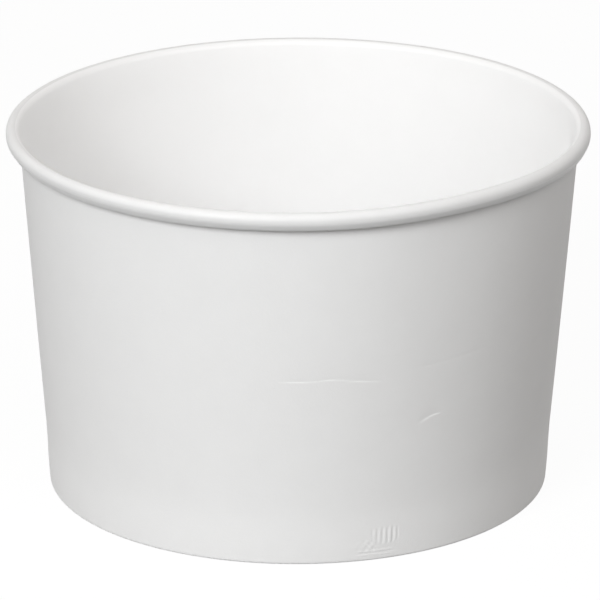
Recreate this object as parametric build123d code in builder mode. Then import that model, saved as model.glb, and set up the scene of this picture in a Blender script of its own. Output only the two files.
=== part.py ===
"""Paper soup bowl: a wrapped sidewall with a rolled rim, a lapped side seam and a folded foot,
closed by a raised base disc whose skirt is sealed inside the fold.

Millimetres, +Z up, origin at the centre of the foot. Every section is drawn on a meridian plane,
with the distance from the bowl's axis across and the height up. The bends in the board are drawn
as short chords, and the inner corner of a fold is sharp.
"""
from build123d import *
import os
from math import atan2, cos, degrees, radians, sin, tan

# Outside of the bowl, with the rim's reach beyond the wall, its upright side and the taper below that
bowl_height = 73.5
rim_diameter = 115.0
rim_reach = 2.25
rim_height = 3.5
rim_side = 0.6
rim_taper = 31.0
foot_diameter = 99.0

# Sidewall board, and the gap between its tucked edge and the wall
wall_board = 0.45
tuck_gap = 0.08

# Side seam, where one end of the blank climbs over the other and is pressed down at foot and rim
seam_angle = 13.0
seam_lap = 7.0
seam_ramp = 8.0
seam_press = 3.0
seam_ramp_steps = 4

# Base disc, the film that seals its skirt, and the hem's gap below its floor
base_board = 0.4
base_recess = 8.0
seal_film = 0.03
hem_gap = 1.0

# Chords in a bend: in each quarter turn over the rim, in the half turn on the rim's hidden face,
# elsewhere in view, and out of view
rim_chords = 3
roll_chords = 3
open_chords = 2
hidden_chords = 1

# Lean of the wall, with the directions along it and out of it
rim_radius = rim_diameter / 2
foot_radius = foot_diameter / 2
lean = atan2(rim_radius - rim_reach - foot_radius, bowl_height)
lean_degrees = degrees(lean)
wall_up = Vector(sin(lean), cos(lean))
wall_out = Vector(cos(lean), -sin(lean))

# Rim roll: its upper bend runs on from the wall's food side to an upright side, and a tapered flank
# leads from there to its lower bend, which rests on the shoulder's level and comes back to the wall
taper = radians(rim_taper)
taper_out = Vector(cos(taper), -sin(taper))
upper_roll = (rim_reach * cos(lean) + wall_board) / (1 + cos(lean) - sin(lean))
upper_centre = Vector(rim_radius - upper_roll, bowl_height - upper_roll)
side_end = Vector(rim_radius, bowl_height - upper_roll - rim_side)
shoulder_height = bowl_height - rim_height
flank_foot = (taper_out.dot(side_end) + shoulder_height * sin(taper)) / cos(taper)
flank_turn = (1 - sin(taper)) / cos(taper)
shoulder_width = flank_foot * cos(lean) - shoulder_height * sin(lean) - foot_radius * cos(lean) - tuck_gap
lower_roll = shoulder_width / (1 + sin(lean) + flank_turn * cos(lean))
lower_centre = Vector(flank_foot - lower_roll * flank_turn, shoulder_height + lower_roll)


def beside_wall(inset, height):
    """Point at that height on the line that runs inset inside the wall's food side."""
    start = Vector(foot_radius, 0) - wall_out * (wall_board + inset)
    return start + wall_up * ((height - start.Y) / cos(lean))


# The food side of the wall under the rim, and the two inner corners of the fold at the foot, which
# stand apart by the skirt and its two seals
wall_top = beside_wall(0, shoulder_height)
wall_fold = beside_wall(0, wall_board)
hem_fold = beside_wall(base_board + 2 * seal_film, wall_board)
hem_end = beside_wall(base_board + 2 * seal_film, base_recess - hem_gap)

# Seam as angles about the bowl's axis
shoulder_radius = foot_radius + shoulder_height * tan(lean)
lap_degrees = degrees(seam_lap / shoulder_radius)
ramp_degrees = degrees(seam_ramp / shoulder_radius)
seam_start = seam_angle - lap_degrees / 2

# Base disc: the inner corner of its fold, and the two corners of its skirt's cut edge
base_fold = beside_wall(seal_film + base_board, base_recess)
skirt_outer = beside_wall(seal_film, wall_board + seal_film)
skirt_inner = beside_wall(seal_film + base_board, wall_board + seal_film)


def meridian(angle):
    """Plane through the bowl's axis, turned by angle from +X towards +Y."""
    return Plane.XZ.rotated((0, 0, angle))


def bend(centre, radius, first, last, chords):
    """Corners of a bend about centre, in even chords from the first angle to the last."""
    turns = [radians(first + (last - first) * chord / chords) for chord in range(chords + 1)]
    return [centre + Vector(cos(turn), sin(turn)) * radius for turn in turns]


def wall_run(depth, lift):
    """Corners up the face of the wall that lies depth outside the food side, from the fold to the
    rim. Between its pressed ends the face is pushed out by lift."""
    low = wall_fold + wall_out * depth
    high = wall_top + wall_out * depth
    press = wall_up * seam_press
    push = wall_out * lift
    return [low, low + press + push, high - press + push, high]


def rim_run(depth, over):
    """Corners round the rim on the face that lies depth inside the roll, whose bend over the top has
    the corners given, then down the side and the flank and under to the tucked edge."""
    lower = lower_roll - depth
    corner = side_end + Vector(-1, tan(taper / 2)) * depth
    under = bend(lower_centre, lower, -rim_taper, -90, hidden_chords)
    tuck = bend(lower_centre, lower, -90, -180 - lean_degrees, hidden_chords)
    return [*over, corner, *under, *tuck[1:]]


def board_outline(lift):
    """Outline of the sidewall's board: its food side from the hem's cut edge to the tucked edge,
    then its outside back again."""
    rise = bend(upper_centre, upper_roll, 180 - lean_degrees, 90, rim_chords)
    fall = bend(upper_centre, upper_roll, 90, 0, rim_chords)
    food_side = [hem_end, hem_fold, *wall_run(0, lift), *rim_run(0, [*rise, *fall[1:]])]
    hem_bend = bend(hem_fold, wall_board, 180 - lean_degrees, 270, hidden_chords)
    wall_bend = bend(wall_fold, wall_board, -90, -lean_degrees, open_chords)
    wall = wall_run(wall_board, lift)[1:]
    over = bend(upper_centre, upper_roll - wall_board, 180 - lean_degrees, 0, roll_chords)
    roll = rim_run(wall_board, over)
    outside = [hem_end - wall_out * wall_board, *hem_bend, *wall_bend, *wall, *roll]
    return food_side + outside[::-1]


def base_outline():
    """Outline of the base disc: its food side out from the axis and down the skirt, then its
    underside back again."""
    floor_bend = bend(base_fold, base_board, 90, -lean_degrees, hidden_chords)
    floor_centre = Vector(0, base_recess + base_board)
    return [floor_centre, *floor_bend, skirt_outer, skirt_inner, base_fold, Vector(0, base_recess)]


def ramp_section(climb_share):
    """Section of the board where it has climbed that share of the ramp."""
    plane = meridian(seam_start - ramp_degrees * (1 - climb_share))
    outline = board_outline(wall_board * climb_share)
    return Face(Wire.make_polygon([plane.from_local_coords(corner) for corner in outline]))


# Sidewall: round from the seam to the ramp, up the ramp, then over its own first end
with BuildPart() as sidewall:
    with BuildSketch(meridian(seam_start)):
        with BuildLine():
            Polyline(*board_outline(0), close=True)
        make_face()
    revolve(axis=Axis.Z, revolution_arc=360 - ramp_degrees)
    loft([ramp_section(step / seam_ramp_steps) for step in range(seam_ramp_steps + 1)], ruled=True)
    with BuildSketch(meridian(seam_start)):
        with BuildLine():
            Polyline(*wall_run(wall_board, wall_board), close=True)
        make_face()
    revolve(axis=Axis.Z, revolution_arc=lap_degrees)
sidewall.part.label = "sidewall"

# Base disc: a floor turned down at its edge into a skirt along the wall
with BuildPart() as base_disc:
    with BuildSketch(meridian(0)):
        with BuildLine():
            Polyline(*base_outline(), close=True)
        make_face()
    revolve(axis=Axis.Z)
base_disc.part.label = "base_disc"

os.makedirs("parts", exist_ok=True)
export_step(sidewall.part, "parts/sidewall.step")
export_step(base_disc.part, "parts/base_disc.step")
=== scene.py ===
"""Paper soup bowl: the coated board of its wrapped sidewall and of its base disc, on the solid frame.

Lengths are metres, +Z is up and the photograph's camera looks along +Y. Angles round the bowl are
measured from +X towards +Y. Marks in the board are placed by their angle from the front, towards
the right, and by their height.
"""

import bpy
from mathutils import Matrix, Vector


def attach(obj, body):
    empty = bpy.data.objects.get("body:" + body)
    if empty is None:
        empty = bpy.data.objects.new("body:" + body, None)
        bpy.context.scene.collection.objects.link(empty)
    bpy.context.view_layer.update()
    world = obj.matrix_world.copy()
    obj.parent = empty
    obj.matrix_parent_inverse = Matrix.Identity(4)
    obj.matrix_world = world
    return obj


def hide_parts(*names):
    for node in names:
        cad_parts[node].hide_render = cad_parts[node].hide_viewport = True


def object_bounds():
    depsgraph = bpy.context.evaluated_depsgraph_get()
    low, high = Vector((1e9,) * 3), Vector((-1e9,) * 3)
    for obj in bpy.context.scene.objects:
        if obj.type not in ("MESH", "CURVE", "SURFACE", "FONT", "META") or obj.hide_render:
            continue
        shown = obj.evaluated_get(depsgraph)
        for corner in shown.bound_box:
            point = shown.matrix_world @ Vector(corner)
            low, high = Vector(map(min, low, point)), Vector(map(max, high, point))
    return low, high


bl_info = {
    "name": "Paper Soup Bowl",
    "version": (1, 0, 0),
    "blender": (4, 5, 0),
    "location": "View3D > Sidebar > Paper Bowl",
    "description": "Builds a rolled-rim paper soup bowl of coated board",
    "category": "Object",
}

from math import atan2, cos, degrees, radians, sin, tan

import bpy
import numpy as np
from mathutils import Matrix, Vector

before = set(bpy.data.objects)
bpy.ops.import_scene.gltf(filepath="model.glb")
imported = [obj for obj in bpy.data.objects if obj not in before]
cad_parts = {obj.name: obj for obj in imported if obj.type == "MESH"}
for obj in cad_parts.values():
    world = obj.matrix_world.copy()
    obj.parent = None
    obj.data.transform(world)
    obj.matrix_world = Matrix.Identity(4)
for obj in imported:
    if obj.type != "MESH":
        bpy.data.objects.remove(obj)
cad_low, cad_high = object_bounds()

# Finishes of the board, in the order of the material slots. The third is the coating, darkened over the
# rim as painted shade.
OUTSIDE, COATING, ROLLED_SHADE, CUT_EDGE = range(4)

# Edges that are sharper than this stay sharp in the shading
SHARP_EDGE = radians(40.0)

# Rows up the outer face of the wall: from, to and step, close together where the wall is marked
WALL_ROWS = (
    (0.0008, 0.005, 0.0002), (0.0051, 0.0095, 0.00035), (0.0098, 0.026, 0.0018),
    (0.0262, 0.0269, 0.0003), (0.027, 0.0292, 0.00013), (0.0294, 0.0363, 0.0016),
    (0.0368, 0.039, 0.00012), (0.0391, 0.0407, 0.0003))
TOP_ROWS_FROM, TOP_ROWS_STEP = 0.042, 0.0023

# Radius in millimetres at which degrees from the front become millimetres across the wall
MARK_RADIUS = 51.0

# Lip of a crease in millimetres: half the width of its step, and the height over which it fades out
LIP_STEP, LIP_FADE = 0.13, 1.2

# Where the front right is pressed in, as an angle from +X, and how far that spreads
FLAT_MIDDLE, FLAT_SPREAD = radians(-54.0), radians(22.0)

# Where the bowl is narrowest, as an angle from +X, and the heights between which the flare fades out
NARROWEST = 0.55
FLARE_FADE = (0.002, 0.012)

# Half the side of the floor, and how much shadow it shows for each share of plain white that it lacks
FLOOR_HALF = 3.0
FLOOR_SHADOW = 1.15


class BowlShape(bpy.types.PropertyGroup):
    """Sizes of the bowl and of the board that it is made of."""

    rim_diameter: bpy.props.FloatProperty(
        name="Rim diameter", description="Across the rolled rim",
        default=cad_high.x - cad_low.x, unit="LENGTH", precision=5)
    height: bpy.props.FloatProperty(
        name="Height", description="From the foot to the top of the rim",
        default=cad_high.z, unit="LENGTH", precision=5)
    foot_diameter: bpy.props.FloatProperty(
        name="Foot diameter", description="Across the wall at the foot",
        default=0.099, unit="LENGTH", precision=5)
    rim_reach: bpy.props.FloatProperty(
        name="Rim reach", description="How far the rim stands beyond the wall",
        default=0.00225, unit="LENGTH", precision=5)
    rim_height: bpy.props.FloatProperty(
        name="Rim height", description="From the underside of the roll to its top",
        default=0.0035, unit="LENGTH", precision=5)
    rim_side: bpy.props.FloatProperty(
        name="Rim side", description="Upright side of the roll, down to the corner with its flank",
        default=0.0006, unit="LENGTH", precision=5)
    rim_taper: bpy.props.FloatProperty(
        name="Rim taper", description="Lean of the roll's flank, below its side",
        default=radians(31.0), subtype="ANGLE")
    rim_round: bpy.props.FloatProperty(
        name="Rim round", description="Radius of the bend between the roll's side and its flank",
        default=0.0012, unit="LENGTH", precision=5)
    wall_board: bpy.props.FloatProperty(
        name="Wall board", description="Thickness of the sidewall's board",
        default=0.00045, unit="LENGTH", precision=5)
    tuck_gap: bpy.props.FloatProperty(
        name="Tuck gap", description="Between the tucked edge of the roll and the wall",
        default=0.00008, unit="LENGTH", precision=5)
    seam_angle: bpy.props.FloatProperty(
        name="Seam", description="Middle of the lapped seam, from +X towards +Y",
        default=radians(13.0), subtype="ANGLE")
    seam_lap: bpy.props.FloatProperty(
        name="Lap", description="Width of the lap at the seam",
        default=0.007, unit="LENGTH", precision=5)
    seam_ramp: bpy.props.FloatProperty(
        name="Ramp", description="Width over which the board climbs onto its other end",
        default=0.008, unit="LENGTH", precision=5)
    seam_press: bpy.props.FloatProperty(
        name="Press", description="Height over which the lap is pressed flat at foot and rim",
        default=0.003, unit="LENGTH", precision=5)
    seam_skive: bpy.props.FloatProperty(
        name="Skive", description="Width over which the lap's inner end is pressed thin",
        default=0.005, unit="LENGTH", precision=5)
    base_board: bpy.props.FloatProperty(
        name="Base board", description="Thickness of the base disc's board",
        default=0.0004, unit="LENGTH", precision=5)
    base_recess: bpy.props.FloatProperty(
        name="Base recess", description="Height of the base disc's underside above the foot",
        default=0.008, unit="LENGTH", precision=5)
    seal_film: bpy.props.FloatProperty(
        name="Seal film", description="Film on each side of the base disc's skirt",
        default=0.00003, unit="LENGTH", precision=5)
    hem_gap: bpy.props.FloatProperty(
        name="Hem gap", description="From the hem's cut edge up to the base disc",
        default=0.001, unit="LENGTH", precision=5)
    base_dome: bpy.props.FloatProperty(
        name="Base dome", description="Rise of the base disc at its middle",
        default=0.0003, unit="LENGTH", precision=5)
    out_of_round: bpy.props.FloatProperty(
        name="Out of round", description="How much narrower the bowl is one way than the other",
        default=0.0025, subtype="FACTOR", precision=4)
    skew: bpy.props.FloatProperty(
        name="Skew", description="How far the foot stands to the left, and the wall's top to the right",
        default=0.0003, unit="LENGTH", precision=5)
    flat: bpy.props.FloatProperty(
        name="Flat", description="How far the rim is pressed in at the front right",
        default=0.0012, unit="LENGTH", precision=5)
    flare: bpy.props.FloatProperty(
        name="Flare", description="How far the foot is pressed outwards where its fold was knurled",
        default=0.00025, unit="LENGTH", precision=5)
    slack: bpy.props.FloatProperty(
        name="Slack", description="Slow waves in the wall between foot and rim",
        default=0.00012, unit="LENGTH", precision=5)
    crease: bpy.props.FloatProperty(
        name="Crease", description="Depth of the deepest crease in the wall",
        default=0.00007, unit="LENGTH", precision=6)


class BowlFinish(bpy.types.PropertyGroup):
    """Colours and surfaces of the board."""

    board_colour: bpy.props.FloatVectorProperty(
        name="Board", description="Outside of the board",
        subtype="COLOR", size=3, min=0.0, max=1.0, default=(0.935, 0.935, 0.932))
    coating_colour: bpy.props.FloatVectorProperty(
        name="Coating", description="Food side of the board, under its film",
        subtype="COLOR", size=3, min=0.0, max=1.0, default=(0.922, 0.922, 0.921))
    # Painted shade: the coating over the rim is darker, to tone down the highlight on the roll's top
    # and to draw a dark line along its crest
    roll_shade_colour: bpy.props.FloatVectorProperty(
        name="Roll", description="Coated board that was stretched over the rim",
        subtype="COLOR", size=3, min=0.0, max=1.0, default=(0.822, 0.822, 0.82))
    edge_colour: bpy.props.FloatVectorProperty(
        name="Cut edge", description="Raw edge of the board",
        subtype="COLOR", size=3, min=0.0, max=1.0, default=(0.85, 0.845, 0.825))
    board_roughness: bpy.props.FloatProperty(
        name="Board roughness", description="Outside of the board", subtype="FACTOR",
        min=0.0, max=1.0, default=0.62)
    coating_roughness: bpy.props.FloatProperty(
        name="Coating roughness", description="Food side of the board", subtype="FACTOR",
        min=0.0, max=1.0, default=0.42)
    fibre_size: bpy.props.FloatProperty(
        name="Fibre", description="Size of the paper's fibres",
        default=0.00045, unit="LENGTH", precision=5)
    cloud_size: bpy.props.FloatProperty(
        name="Cloud", description="Size of the clouds in the paper",
        default=0.007, unit="LENGTH", precision=5)


class BowlStage(bpy.types.PropertyGroup):
    """Camera, light and floor."""

    camera_distance: bpy.props.FloatProperty(
        name="Camera distance", description="From the middle of the bowl",
        default=1.0871, unit="LENGTH")
    camera_pitch: bpy.props.FloatProperty(
        name="Camera pitch", description="How far the camera looks down",
        default=0.344, subtype="ANGLE")
    camera_roll: bpy.props.FloatProperty(
        name="Camera roll", description="Turn of the camera about its own line of sight",
        default=0.0041, subtype="ANGLE")
    camera_lens: bpy.props.FloatProperty(
        name="Lens", description="Focal length on a 36 mm sensor", default=328.39)
    camera_shift: bpy.props.FloatVectorProperty(
        name="Shift", description="Lens shift that the photograph's framing needs", size=2,
        default=(0.0024, -0.004))
    key_power: bpy.props.FloatProperty(
        name="Key light", description="Soft light at the front left", default=3.0, unit="POWER")
    fill_power: bpy.props.FloatProperty(
        name="Fill light", description="Soft light at the front right", default=0.3, unit="POWER")
    side_power: bpy.props.FloatProperty(
        name="Side light", description="Soft light low at the left", default=2.3, unit="POWER")
    inner_power: bpy.props.FloatProperty(
        name="Inner light", description="Narrow light through the mouth on the inside's left",
        default=21.0, unit="POWER")
    down_power: bpy.props.FloatProperty(
        name="Down light", description="Narrow light straight down on the bowl's floor",
        default=6.0, unit="POWER")
    sky_strength: bpy.props.FloatProperty(
        name="Sky", description="Even light from all round", default=0.48)
    key_colour: bpy.props.FloatVectorProperty(
        name="Lamp colour", description="Colour of the lamps", subtype="COLOR", size=3,
        min=0.0, max=1.0, default=(0.975, 0.99, 1.0))
    sky_colour: bpy.props.FloatVectorProperty(
        name="Sky colour", description="Colour of the even light", subtype="COLOR", size=3,
        min=0.0, max=1.0, default=(1.0, 0.965, 0.935))
    floor_colour: bpy.props.FloatVectorProperty(
        name="Floor", description="Floor near the bowl", subtype="COLOR", size=3,
        min=0.0, max=1.0, default=(0.27, 0.27, 0.27))
    far_colour: bpy.props.FloatVectorProperty(
        name="Far floor", description="Floor further off", subtype="COLOR", size=3,
        min=0.0, max=1.0, default=(0.12, 0.12, 0.12))
    floor_near: bpy.props.FloatProperty(
        name="Near floor", description="Distance from the bowl's axis where the floor begins to darken",
        default=0.052, unit="LENGTH")
    floor_white: bpy.props.FloatProperty(
        name="Floor white", description="Plain white in what the camera sees of the floor",
        subtype="FACTOR", min=0.0, max=1.0, default=0.94)


def smooth(low, high, x):
    """Smooth step: 0 below low, 1 above high, and 3t2 - 2t3 of the share t between them."""
    t = np.clip((x - low) / (high - low), 0.0, 1.0)
    return t * t * (3.0 - 2.0 * t)


def band(low, high, soft, x):
    """Window: 1 from low to high, with smooth ends of width soft outside them."""
    return smooth(low - soft, low, x) * (1.0 - smooth(high, high + soft, x))


def bend(centre, radius, first, last, steps):
    """Arc: centre + radius (cos t, sin t), with t even from first to last, in degrees."""
    t = np.radians(np.linspace(first, last, steps + 1))
    return np.column_stack([centre[0] + radius * np.cos(t), centre[1] + radius * np.sin(t)])


def run(start, end, shares):
    """Straight stretch: start + share (end - start) for each share."""
    return np.asarray(start) + np.asarray(shares)[:, None] * (np.asarray(end) - np.asarray(start))


class Layout:
    """Sizes that follow from the bowl's own: the wall's lean, the roll's bends and the folds. A point
    is its distance from the bowl's axis and its height."""

    def __init__(self, shape):
        self.rim = shape.rim_diameter / 2
        self.foot = shape.foot_diameter / 2
        self.top = shape.height
        self.board = shape.wall_board
        self.lean = atan2(self.rim - shape.rim_reach - self.foot, self.top)
        self.out = np.array([cos(self.lean), -sin(self.lean)])
        c, s = cos(self.lean), sin(self.lean)
        self.taper = shape.rim_taper
        self.taper_out = np.array([cos(self.taper), -sin(self.taper)])
        self.upper_roll = (shape.rim_reach * c + self.board) / (1 + c - s)
        self.upper_centre = np.array([self.rim - self.upper_roll, self.top - self.upper_roll])
        corner = np.array([self.rim, self.top - self.upper_roll - shape.rim_side])
        self.rim_round = shape.rim_round
        self.round_centre = corner + np.array([-self.rim_round, self.rim_round * tan(self.taper / 2)])
        self.shoulder = self.top - shape.rim_height
        flank_foot = (self.taper_out @ corner + self.shoulder * sin(self.taper)) / cos(self.taper)
        flank_turn = (1 - sin(self.taper)) / cos(self.taper)
        width = (flank_foot - self.foot) * c - self.shoulder * s - shape.tuck_gap
        self.lower_roll = width / (1 + s + flank_turn * c)
        self.lower_centre = np.array([
            flank_foot - self.lower_roll * flank_turn, self.shoulder + self.lower_roll])
        self.slot = shape.base_board + 2 * shape.seal_film
        self.wall_fold = self.beside(0.0, self.board)
        self.hem_fold = self.beside(self.slot, self.board)
        self.hem_end = self.beside(self.slot, shape.base_recess - shape.hem_gap)
        shoulder_radius = self.foot + self.shoulder * tan(self.lean)
        self.lap = shape.seam_lap / shoulder_radius
        self.ramp = shape.seam_ramp / shoulder_radius
        self.skive = shape.seam_skive / shoulder_radius
        self.seam_start = shape.seam_angle - self.lap / 2

    def radius_at(self, inset, height):
        """Radius, at each height, of the line that runs inset inside the wall's food side."""
        depth = self.board + inset
        return self.foot - depth * cos(self.lean) + (height - depth * sin(self.lean)) * tan(self.lean)

    def beside(self, inset, height):
        """Point at that height on the line that runs inset inside the wall's food side."""
        return np.array([self.radius_at(inset, height), height])


def board_outline(lay):
    """Closed outline of the sidewall's board, as points, the finish of the stretch after each point,
    and whether each point lies on the board's outer face. It runs from the hem's cut edge down into the
    fold, up the food side, over the roll to the tucked edge, and back down the outer face."""
    lean = degrees(lay.lean)
    taper = degrees(lay.taper)
    stretches = [*WALL_ROWS, (TOP_ROWS_FROM, lay.shoulder, TOP_ROWS_STEP)]
    heights = np.concatenate([np.arange(*stretch) for stretch in stretches])
    thick = lay.out * lay.board
    wall_low = lay.wall_fold + thick
    wall_high = lay.upper_centre + (lay.board - lay.upper_roll) * lay.out
    down_shares = (np.append(heights, lay.shoulder)[::-1] - wall_high[1]) / (wall_low[1] - wall_high[1])
    food = [
        run(lay.hem_end, lay.hem_fold, np.linspace(0.0, 1.0, 5)),
        run(lay.wall_fold, lay.upper_centre - lay.upper_roll * lay.out, np.linspace(0.0, 1.0, 32)),
        bend(lay.upper_centre, lay.upper_roll, 180 - lean, 90, 12)[1:],
        bend(lay.upper_centre, lay.upper_roll, 90, 0, 12)[1:],
        bend(lay.round_centre, lay.rim_round, 0, -taper, 5),
        bend(lay.lower_centre, lay.lower_roll, -taper, -90, 7),
        bend(lay.lower_centre, lay.lower_roll, -90, -180 - lean, 8)[1:],
    ]
    outer = [
        bend(lay.lower_centre, lay.lower_roll - lay.board, -180 - lean, -taper, 7),
        bend(lay.round_centre, lay.rim_round - lay.board, -taper, 0, 2),
        bend(lay.upper_centre, lay.upper_roll - lay.board, 0, 180 - lean, 8),
        run(wall_high, wall_low, down_shares),
        bend(lay.wall_fold, lay.board, -lean, -90, 6),
        bend(lay.hem_fold, lay.board, 270, 180 - lean, 6),
        run(lay.hem_fold - thick, lay.hem_end - thick, np.linspace(0.0, 1.0, 7))[1:],
    ]
    points = np.concatenate(food + outer)
    food_count = sum(map(len, food))
    finish = np.full(len(points), OUTSIDE)
    finish[:food_count] = COATING
    rim_top = len(food[0]) + len(food[1]) + len(food[2])
    # Painted shade: the last four rows of the inner bend before the crest, the crest and outer top of
    # the roll, and two rows of its side take the darker roll colour. It tones down the top's highlight
    # and draws a dark line along the crest.
    crest_rows, side_rows = 4, 2
    finish[rim_top - crest_rows:rim_top + len(food[3]) + side_rows] = ROLLED_SHADE
    finish[[food_count - 1, len(points) - 1]] = CUT_EDGE
    return points, finish, np.arange(len(points)) >= food_count


def column_angles(lay):
    """Angles of the columns round the bowl, from the seam's first end once round to it again: close
    together in the seam and where the wall is marked, and further apart elsewhere."""
    hair = radians(0.06)
    first, last = lay.seam_start, lay.seam_start + 2 * np.pi
    back_right, back_left = radians(80.0), radians(250.0)
    marks, creases, crimps, right = (radians(270.0) + radians(a) for a in (-13.0, 14.5, 24.0, 45.0))
    spans = [
        (first, first + lay.lap, 14),
        (first + lay.lap + hair, back_right, 46),
        (back_right, back_left, 110),
        (back_left, marks, 8),
        (marks, creases, 62),
        (creases, crimps, 70),
        (crimps, right, 44),
        (right, last - lay.ramp, 36),
        (last - lay.ramp, last - hair, 18),
    ]
    return np.unique(np.round(np.concatenate([np.linspace(*span) for span in spans]), 9))


def wall_wear(angle, height):
    """Marks in the outer face of the wall, as a share of the deepest crease, at angles in degrees from
    the front. The marks' places are in those degrees, or in millimetres across the wall and up it.

    A crease is a lip, -s(d) exp(-max(d, 0) / fade), where s is a smooth step of the distance d above
    the crease's line. Lines and spots are Gaussians, exp(-(d / width)^2). Crimps, scuffs and the
    rungs of the ladder are cosines. Smooth windows end each mark."""
    across = np.radians(angle) * MARK_RADIUS
    tall = height * 1000.0

    def line(distance, width):
        return np.exp(-(distance / width) ** 2)

    def lip(distance):
        return -smooth(-LIP_STEP, LIP_STEP, distance) * np.exp(-np.maximum(distance, 0.0) / LIP_FADE)

    hump = 0.35 * line(angle - 7.0, 3.0)
    droop = 0.006 * np.maximum(angle - 5.0, 0.0) ** 2
    long_crease = tall - 38.4 - hump + droop
    long_depth = 0.7 + 0.3 * np.cos(0.95 * (angle - 6.4))
    wear = lip(long_crease) * band(-3.5, 16.5, 1.5, angle) * long_depth

    short_crease = tall - 28.75 + 0.065 * (angle - 31.3) ** 2
    wear += 1.4 * lip(short_crease) * band(27.6, 31.0, 1.2, angle)

    rising = 39.1 + 0.05 * (angle - 24.0)
    wear -= 0.45 * line(tall - rising, 0.3) * band(28.0, 41.0, 4.0, angle)

    crimp = across - 16.86
    crimp_pitch = 1.08
    crimps = np.cos(2 * np.pi * crimp / crimp_pitch) * (0.85 + 0.45 * line(crimp - 1.75, 0.6))
    crimp_foot = 3.5 + 0.14 * (crimp - 0.9) ** 2
    crimp_ends = smooth(crimp_foot - 0.4, crimp_foot + 0.2, tall) * (1.0 - smooth(6.2, 6.8, tall))
    wear -= 0.9 * crimps * band(-2.3, 3.2, 0.3, crimp) * crimp_ends

    scuff_across = np.cos(2 * np.pi * across / 1.35 + 1.1 * tall)
    scuff_up = np.cos(2 * np.pi * tall / 1.5 + 0.8 * across)
    wear -= 0.6 * scuff_across * scuff_up * band(11.4, 15.2, 0.5, across) * band(2.0, 4.4, 0.5, tall)

    rung_pitch = 0.8
    ladder = np.cos(2 * np.pi * (tall - 1.6) / rung_pitch)
    wear -= 0.5 * ladder * band(1.1, 2.3, 0.3, tall) * band(14.0, 20.5, 1.5, angle)

    smudge = line(np.hypot(across + 14.2, tall - 21.7), 0.7)
    bump = line(np.hypot(across + 17.8, tall - 12.6), 0.8)
    return wear - 0.8 * smudge + 0.9 * bump


def wall_slack(angle, height, top):
    """Slow waves in the wall: a sum of three cosines round the bowl, each with its own slant, that
    fades out at foot and rim. angle is in radians."""
    share = height / top
    waves = np.cos(3 * angle + 0.7 + 1.9 * share) + 0.6 * np.cos(5 * angle + 2.1 - 2.6 * share)
    waves += 0.45 * np.cos(8 * angle + 4.0 + 3.1 * share)
    return waves / 2.05 * smooth(0.02, 0.4, share) * (1.0 - smooth(0.7, 0.96, share))


def settle(shape, radius, angle, height):
    """Places of points once the foot has been pressed outwards and the bowl is out of round and off
    centre. The radius grows by the flare's share at the foot, which fades out upwards, shrinks to
    radius (1 - k (1 + cos 2(a - b)) / 2), and loses a Gaussian flat at the front right that grows with
    the height. x moves by the skew, from -1 times it at the foot to 0.9 times it under the rim, whose
    own top stays."""
    rim_foot = shape.height - shape.rim_height
    flare = 2 * shape.flare / shape.foot_diameter * (1.0 - smooth(*FLARE_FADE, height))
    narrow = shape.out_of_round * (1.0 + np.cos(2 * angle - 2 * NARROWEST)) / 2
    beside = (angle - FLAT_MIDDLE + np.pi) % (2 * np.pi) - np.pi
    flat = 2 * shape.flat / shape.rim_diameter * np.exp(-(beside / FLAT_SPREAD) ** 2)
    radius = radius * (1.0 + flare) * (1.0 - narrow) * (1.0 - flat * height / shape.height)
    below_rim = 1.0 - smooth(rim_foot - 0.001, shape.height, height)
    right = shape.skew * (1.9 * height / rim_foot - 1.0) * below_rim
    x, y = radius * np.cos(angle) + right, radius * np.sin(angle)
    return np.stack(np.broadcast_arrays(x, y, height), -1)


def on_wall(lay, points):
    """Whether each point of the board's outline lies on the wall: outside the middle of the fold's slot
    and below the rim."""
    outside_hem = points[:, 0] > lay.radius_at(lay.slot / 2, points[:, 1])
    return outside_hem & (points[:, 1] < lay.shoulder)


def wall_lift(shape, lay, points, outer, angles):
    """How far the points of the wall are pushed out of it, for each angle. It is the board's thickness
    times its climb at the seam, but not where the lap is pressed flat, then the slack and, on the
    outer face, the marks.

    The climb is a smooth step up the ramp. On the outer face it stays 1 over the lap and ends at the
    cut edge. On the food side it is a smooth step down over the skive, and 0 at the base disc."""
    angle, height = angles[:, None], points[None, :, 1]
    turn = angle - lay.seam_start
    up_ramp = smooth(-lay.ramp, 0.0, turn - 2 * np.pi)
    down_skive = 1.0 - smooth(0.0, lay.skive, turn)
    food_climb = np.maximum(up_ramp, down_skive)
    outer_climb = np.maximum(food_climb, (turn <= lay.lap + 1e-6) * 1.0)
    soft = shape.seam_press
    press = band(lay.board + soft, lay.shoulder - soft, soft, height)
    tight = smooth(shape.base_recess + shape.base_board, shape.base_recess + soft, height)
    lift = np.where(outer, outer_climb, food_climb * tight) * lay.board * press
    lift = lift + shape.slack * wall_slack(angle, height, lay.top)
    front = (np.degrees(angle) + 90.0 + 180.0) % 360.0 - 180.0
    return lift + outer * shape.crease * wall_wear(front, height)


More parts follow.
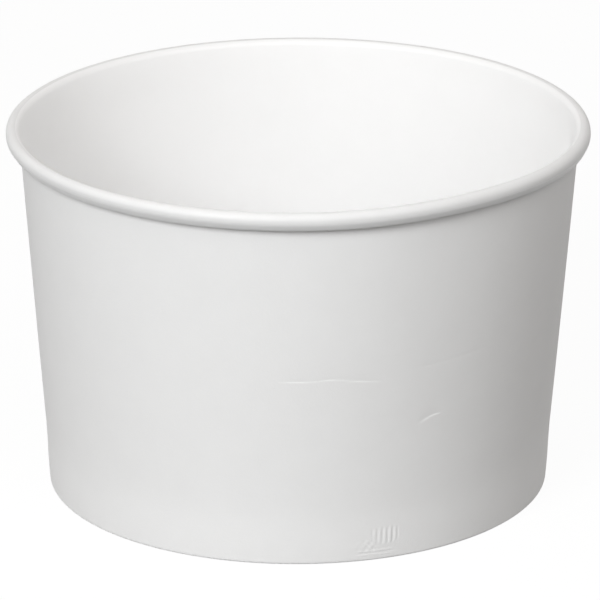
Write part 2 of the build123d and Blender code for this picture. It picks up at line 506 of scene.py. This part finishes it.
def base_outline(shape, lay):
    """Open outline of the base disc's board, as points, and the finish of the stretch after each point.
    It runs out along the food side, down the skirt and back along the underside. The floor is raised
    to a dome that falls from the middle by a smooth step of the radius."""
    lean = degrees(lay.lean)
    board, film = shape.base_board, shape.seal_film
    fold = lay.beside(film + board, shape.base_recess)
    low = lay.board + film
    shares = np.linspace(0.05, 1.0, 20)
    upper = run((0.0, fold[1] + board), (fold[0], fold[1] + board), shares)
    lower = run((0.0, fold[1]), tuple(fold), shares)[::-1]
    skirt_out = run(fold + board * lay.out, lay.beside(film, low), np.linspace(0.0, 1.0, 7))
    skirt_in = run(lay.beside(film + board, low), fold, np.linspace(0.0, 1.0, 7))
    turned = bend(fold, board, 90, -lean, 6)[1:-1]
    points = np.concatenate([upper, turned, skirt_out, skirt_in[:-1], lower])
    finish = np.full(len(points), OUTSIDE)
    upper_count = len(upper) + len(turned) + len(skirt_out)
    finish[:upper_count] = COATING
    finish[upper_count - 1] = CUT_EDGE
    floor = points[:, 1] > fold[1] - board / 2
    points[:, 1] += shape.base_dome * (1.0 - smooth(0.0, 0.96, points[:, 0] / fold[0])) * floor
    return points, finish


def mesh_piece(name, vertices, faces, finishes, materials):
    """Object with that mesh at the origin, smooth but for its sharp edges."""
    mesh = bpy.data.meshes.new(name)
    mesh.from_pydata(vertices.reshape(-1, 3).tolist(), [], faces)
    for material in materials:
        mesh.materials.append(material)
    mesh.polygons.foreach_set("material_index", np.asarray(finishes, dtype=np.int32))
    mesh.polygons.foreach_set("use_smooth", np.ones(len(mesh.polygons), dtype=bool))
    mesh.set_sharp_from_angle(angle=SHARP_EDGE)
    mesh.update()
    if mesh.validate():
        raise RuntimeError(f"{name} has bad faces")
    piece = bpy.data.objects.new(name, mesh)
    bpy.context.scene.collection.objects.link(piece)
    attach(piece, "root")
    return piece


def board_material(name, finish, colour, roughness, fibre_depth, cloud, gloss):
    """Paper board: clouds and fibres from noise in Object coordinates darken the colour by up to the
    cloud's share, vary the roughness and raise a bump of the fibres' depth."""
    material = bpy.data.materials.new(name)
    material.use_nodes = True
    nodes, links = material.node_tree.nodes, material.node_tree.links
    shader = nodes["Principled BSDF"]
    shader.inputs["Specular IOR Level"].default_value = gloss
    place = nodes.new("ShaderNodeTexCoord")
    clouds = nodes.new("ShaderNodeTexNoise")
    clouds.inputs["Scale"].default_value = 1.0 / finish.cloud_size
    clouds.inputs["Detail"].default_value = 4.0
    clouds.inputs["Roughness"].default_value = 0.6
    fibres = nodes.new("ShaderNodeTexNoise")
    fibres.inputs["Scale"].default_value = 1.0 / finish.fibre_size
    fibres.inputs["Detail"].default_value = 3.0
    fibres.inputs["Roughness"].default_value = 0.55
    fibres.inputs["Distortion"].default_value = 0.8
    for noise in (clouds, fibres):
        links.new(place.outputs["Object"], noise.inputs["Vector"])
    blend = nodes.new("ShaderNodeMix")
    blend.inputs["Factor"].default_value = 0.35
    links.new(clouds.outputs["Fac"], blend.inputs["A"])
    links.new(fibres.outputs["Fac"], blend.inputs["B"])
    tint = nodes.new("ShaderNodeValToRGB")
    tint.color_ramp.elements[0].position = 0.3
    tint.color_ramp.elements[1].position = 0.7
    tint.color_ramp.elements[0].color = (*(c * (1.0 - cloud) for c in colour), 1.0)
    tint.color_ramp.elements[1].color = (*colour, 1.0)
    links.new(blend.outputs["Result"], tint.inputs["Fac"])
    links.new(tint.outputs["Color"], shader.inputs["Base Color"])
    rough = nodes.new("ShaderNodeMapRange")
    rough.inputs["To Min"].default_value = roughness - 0.05
    rough.inputs["To Max"].default_value = roughness + 0.05
    links.new(fibres.outputs["Fac"], rough.inputs["Value"])
    links.new(rough.outputs["Result"], shader.inputs["Roughness"])
    bump = nodes.new("ShaderNodeBump")
    bump.inputs["Strength"].default_value = 1.0
    bump.inputs["Distance"].default_value = fibre_depth
    links.new(fibres.outputs["Fac"], bump.inputs["Height"])
    links.new(bump.outputs["Normal"], shader.inputs["Normal"])
    return material


def board_materials(finish):
    """The finishes of the board: its outside, its coated food side, that side over the rim darkened as
    painted shade, and its cut edge. They are made once."""
    recipes = {
        "board_outside": dict(
            colour=finish.board_colour, roughness=finish.board_roughness,
            fibre_depth=0.000025, cloud=0.022, gloss=0.2),
        "board_coating": dict(
            colour=finish.coating_colour, roughness=finish.coating_roughness,
            fibre_depth=0.00001, cloud=0.012, gloss=0.3),
        # The coating over the rim, darker as painted shade
        "board_rolled_shade": dict(
            colour=finish.roll_shade_colour, roughness=finish.coating_roughness,
            fibre_depth=0.00002, cloud=0.03, gloss=0.25),
        "board_cut_edge": dict(
            colour=finish.edge_colour, roughness=0.85,
            fibre_depth=0.00006, cloud=0.06, gloss=0.15),
    }
    return [
        bpy.data.materials.get(name) or board_material(name, finish, **recipe)
        for name, recipe in recipes.items()]


class BOWL_OT_sidewall(bpy.types.Operator):
    """Carry the board's outline round the bowl, with its lapped seam and its marks"""

    bl_idname = "bowl.sidewall"
    bl_label = "Sidewall"

    def execute(self, context):
        shape = context.scene.bowl_shape
        lay = Layout(shape)
        points, finish, outer = board_outline(lay)
        wall = on_wall(lay, points)
        angles = column_angles(lay)
        columns, rows = len(angles), len(points)
        lift = wall_lift(shape, lay, points, outer, angles) * wall
        vertices = settle(
            shape, points[None, :, 0] + lift * lay.out[0], angles[:, None],
            points[None, :, 1] + lift * lay.out[1])
        index = np.arange(columns * rows).reshape(columns, rows)
        across, along = np.roll(index, -1, 0), np.roll(index, -1, 1)
        faces = np.stack([index, along, np.roll(across, -1, 1), across], -1).reshape(-1, 4)
        finishes = np.broadcast_to(finish, (columns, rows)).copy()
        edge = int(np.argmin(np.abs(angles - lay.seam_start - lay.lap)))
        finishes[edge, outer & wall] = CUT_EDGE
        piece = mesh_piece("sidewall_board", vertices, faces.tolist(), finishes.ravel(),
                           board_materials(context.scene.bowl_finish))
        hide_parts("sidewall")
        return {"FINISHED"}


class BOWL_OT_base(bpy.types.Operator):
    """Turn the base disc, with its downturned skirt, about the bowl's axis"""

    bl_idname = "bowl.base"
    bl_label = "Base disc"

    def execute(self, context):
        shape = context.scene.bowl_shape
        lay = Layout(shape)
        points, finish = base_outline(shape, lay)
        angles = np.linspace(0.0, 2 * np.pi, 240, endpoint=False)
        columns, rows = len(angles), len(points)
        ring = settle(shape, points[None, :, 0], angles[:, None], points[None, :, 1])
        middle_heights = shape.base_dome + shape.base_recess + np.array([shape.base_board, 0.0])
        centres = settle(shape, 0.0, 0.0, middle_heights)
        vertices = np.concatenate([ring.reshape(-1, 3), centres])
        index = np.arange(columns * rows).reshape(columns, rows)
        across = np.roll(index, -1, 0)
        quads = np.stack([index[:, 1:], across[:, 1:], across[:, :-1], index[:, :-1]], -1)
        middle = columns * rows
        top = np.stack([index[:, 0], across[:, 0], np.full(columns, middle)], -1)
        under = np.stack([across[:, -1], index[:, -1], np.full(columns, middle + 1)], -1)
        finishes = np.concatenate([
            np.broadcast_to(finish[:-1], (columns, rows - 1)).ravel(),
            np.full(columns, COATING), np.full(columns, OUTSIDE)])
        faces = quads.reshape(-1, 4).tolist() + top.tolist() + under.tolist()
        piece = mesh_piece("base_board", vertices, faces, finishes,
                           board_materials(context.scene.bowl_finish))
        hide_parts("base_disc")
        return {"FINISHED"}


def hang_light(lamp, target, distance, azimuth, elevation):
    """Hangs the lamp at that distance from the target and turns it there. The azimuth is in degrees
    from the front towards the right, and the elevation is in degrees up."""
    a, e = radians(azimuth), radians(elevation)
    away = Vector((sin(a) * cos(e), -cos(a) * cos(e), sin(e)))
    light = bpy.data.objects.new(lamp.name, lamp)
    light.location = Vector(target) + distance * away
    light.rotation_euler = (-away).to_track_quat("-Z", "Y").to_euler()
    bpy.context.scene.collection.objects.link(light)


def soft_light(name, target, distance, azimuth, elevation, size, power, colour):
    """Square soft light of that size."""
    lamp = bpy.data.lights.new(name, "AREA")
    lamp.shape = "SQUARE"
    lamp.size = size
    lamp.energy = power
    lamp.color = colour
    hang_light(lamp, target, distance, azimuth, elevation)


def narrow_light(name, target, distance, azimuth, elevation, width, power, colour):
    """Narrow light whose beam is that wide at the target and fades out all the way to its edge."""
    lamp = bpy.data.lights.new(name, "SPOT")
    lamp.spot_size = 2 * atan2(width / 2, distance)
    lamp.spot_blend = 1.0
    lamp.shadow_soft_size = 0.08
    lamp.energy = power
    lamp.color = colour
    hang_light(lamp, target, distance, azimuth, elevation)


def seen_directly(tree):
    """Value that is 1 for rays from the camera, also by way of a mirror or through glass."""
    path = tree.nodes.new("ShaderNodeLightPath")
    either = tree.nodes.new("ShaderNodeMath")
    either.operation = "MAXIMUM"
    tree.links.new(path.outputs["Is Camera Ray"], either.inputs[0])
    tree.links.new(path.outputs["Is Glossy Ray"], either.inputs[1])
    any_of = tree.nodes.new("ShaderNodeMath")
    any_of.operation = "MAXIMUM"
    tree.links.new(either.outputs[0], any_of.inputs[0])
    tree.links.new(path.outputs["Is Transmission Ray"], any_of.inputs[1])
    return any_of.outputs[0]


def floor_paint(stage):
    """Floor that the camera sees as white with a soft shadow, and that throws grey light back at the
    bowl, less of it further off."""
    paint = bpy.data.materials.new("floor_white")
    paint.use_nodes = True
    tree = paint.node_tree
    tree.nodes.clear()
    place = tree.nodes.new("ShaderNodeTexCoord")
    distance = tree.nodes.new("ShaderNodeVectorMath")
    distance.operation = "LENGTH"
    tree.links.new(place.outputs["Object"], distance.inputs[0])
    fade = tree.nodes.new("ShaderNodeMapRange")
    fade.interpolation_type = "SMOOTHSTEP"
    fade.inputs["From Min"].default_value = stage.floor_near
    fade.inputs["From Max"].default_value = stage.floor_near * 2
    tree.links.new(distance.outputs["Value"], fade.inputs["Value"])
    tone = tree.nodes.new("ShaderNodeMix")
    tone.data_type = "RGBA"
    tone.inputs["A"].default_value = (*stage.floor_colour, 1.0)
    tone.inputs["B"].default_value = (*stage.far_colour, 1.0)
    tree.links.new(fade.outputs["Result"], tone.inputs["Factor"])
    matt = tree.nodes.new("ShaderNodeBsdfDiffuse")
    tree.links.new(tone.outputs["Result"], matt.inputs["Color"])
    shadow = tree.nodes.new("ShaderNodeBsdfDiffuse")
    shade = FLOOR_SHADOW * (1.0 - stage.floor_white)
    shadow.inputs["Color"].default_value = (shade, shade, shade, 1.0)
    glow = tree.nodes.new("ShaderNodeEmission")
    glow.inputs["Strength"].default_value = stage.floor_white
    seen = tree.nodes.new("ShaderNodeAddShader")
    tree.links.new(shadow.outputs[0], seen.inputs[0])
    tree.links.new(glow.outputs[0], seen.inputs[1])
    mix = tree.nodes.new("ShaderNodeMixShader")
    tree.links.new(seen_directly(tree), mix.inputs["Fac"])
    tree.links.new(matt.outputs[0], mix.inputs[1])
    tree.links.new(seen.outputs[0], mix.inputs[2])
    out = tree.nodes.new("ShaderNodeOutputMaterial")
    tree.links.new(mix.outputs[0], out.inputs["Surface"])
    return paint


def studio_sky(stage):
    """Even light from all round, which the camera sees as white."""
    world = bpy.data.worlds.new("studio")
    world.use_nodes = True
    tree = world.node_tree
    level = tree.nodes.new("ShaderNodeMix")
    level.data_type = "RGBA"
    level.inputs["A"].default_value = (*(stage.sky_strength * c for c in stage.sky_colour), 1.0)
    level.inputs["B"].default_value = (1.0, 1.0, 1.0, 1.0)
    tree.links.new(seen_directly(tree), level.inputs["Factor"])
    tree.links.new(level.outputs["Result"], tree.nodes["Background"].inputs["Color"])
    return world


def front_camera(stage, target):
    """Camera in front of the target, above it by the pitch and turned down to it."""
    camera = bpy.data.objects.new("camera", bpy.data.cameras.new("camera"))
    camera.data.lens = stage.camera_lens
    camera.data.sensor_width = 36.0
    camera.data.shift_x, camera.data.shift_y = stage.camera_shift
    back = Vector((0.0, -cos(stage.camera_pitch), sin(stage.camera_pitch))) * stage.camera_distance
    turn = Matrix.Rotation(radians(90.0) - stage.camera_pitch, 4, "X")
    roll = Matrix.Rotation(-stage.camera_roll, 4, "Z")
    camera.matrix_world = Matrix.Translation(Vector(target) + back) @ turn @ roll
    return camera


class BOWL_OT_stage(bpy.types.Operator):
    """Set the white floor, the lights and the camera"""

    bl_idname = "bowl.stage"
    bl_label = "Stage"

    def execute(self, context):
        scene = context.scene
        stage = scene.bowl_stage
        mesh = bpy.data.meshes.new("floor")
        signs = ((-1, -1), (1, -1), (1, 1), (-1, 1))
        corners = [(FLOOR_HALF * x, FLOOR_HALF * y, 0.0) for x, y in signs]
        mesh.from_pydata(corners, [], [(0, 1, 2, 3)])
        mesh.materials.append(floor_paint(stage))
        floor = bpy.data.objects.new("floor", mesh)
        scene.collection.objects.link(floor)
        scene.world = studio_sky(stage)

        middle = (0.0, 0.0, scene.bowl_shape.height / 2)
        soft_light("key", middle, distance=0.75, azimuth=-28.0, elevation=32.0, size=0.28,
                   power=stage.key_power, colour=stage.key_colour)
        soft_light("fill", middle, distance=0.45, azimuth=34.0, elevation=36.0, size=0.26,
                   power=stage.fill_power, colour=stage.key_colour)
        soft_light("side", middle, distance=1.6, azimuth=-50.0, elevation=7.0, size=0.9,
                   power=stage.side_power, colour=stage.key_colour)
        bowl_floor, inside_left = (0.0, 0.0, 0.008), (-0.043, 0.026, 0.064)
        narrow_light("down", bowl_floor, distance=1.6, azimuth=0.0, elevation=90.0, width=0.09,
                     power=stage.down_power, colour=stage.sky_colour)
        narrow_light("inner", inside_left, distance=1.6, azimuth=62.0, elevation=40.0, width=0.1,
                     power=stage.inner_power, colour=stage.sky_colour)

        camera = front_camera(stage, middle)
        scene.collection.objects.link(camera)
        scene.camera = camera
        scene.view_settings.view_transform = "Standard"
        return {"FINISHED"}


class BOWL_PT_sidebar(bpy.types.Panel):
    """Sizes, finishes and stage of the paper bowl"""

    bl_idname = "BOWL_PT_sidebar"
    bl_label = "Paper Bowl"
    bl_space_type = "VIEW_3D"
    bl_region_type = "UI"
    bl_category = "Paper Bowl"

    def draw(self, context):
        scene = context.scene
        for group in (scene.bowl_shape, scene.bowl_finish, scene.bowl_stage):
            box = self.layout.box()
            for name in group.__annotations__:
                box.prop(group, name)
        for operator in (BOWL_OT_sidewall, BOWL_OT_base, BOWL_OT_stage):
            self.layout.operator(operator.bl_idname)


classes = (
    BowlShape, BowlFinish, BowlStage, BOWL_OT_sidewall, BOWL_OT_base, BOWL_OT_stage, BOWL_PT_sidebar)


def register():
    for each in classes:
        bpy.utils.register_class(each)
    bpy.types.Scene.bowl_shape = bpy.props.PointerProperty(type=BowlShape)
    bpy.types.Scene.bowl_finish = bpy.props.PointerProperty(type=BowlFinish)
    bpy.types.Scene.bowl_stage = bpy.props.PointerProperty(type=BowlStage)


def unregister():
    del bpy.types.Scene.bowl_stage
    del bpy.types.Scene.bowl_finish
    del bpy.types.Scene.bowl_shape
    for each in reversed(classes):
        bpy.utils.unregister_class(each)


def main():
    register()
    bpy.ops.bowl.sidewall()
    bpy.ops.bowl.base()
    bpy.ops.bowl.stage()


if __name__ == "__main__":
    main()
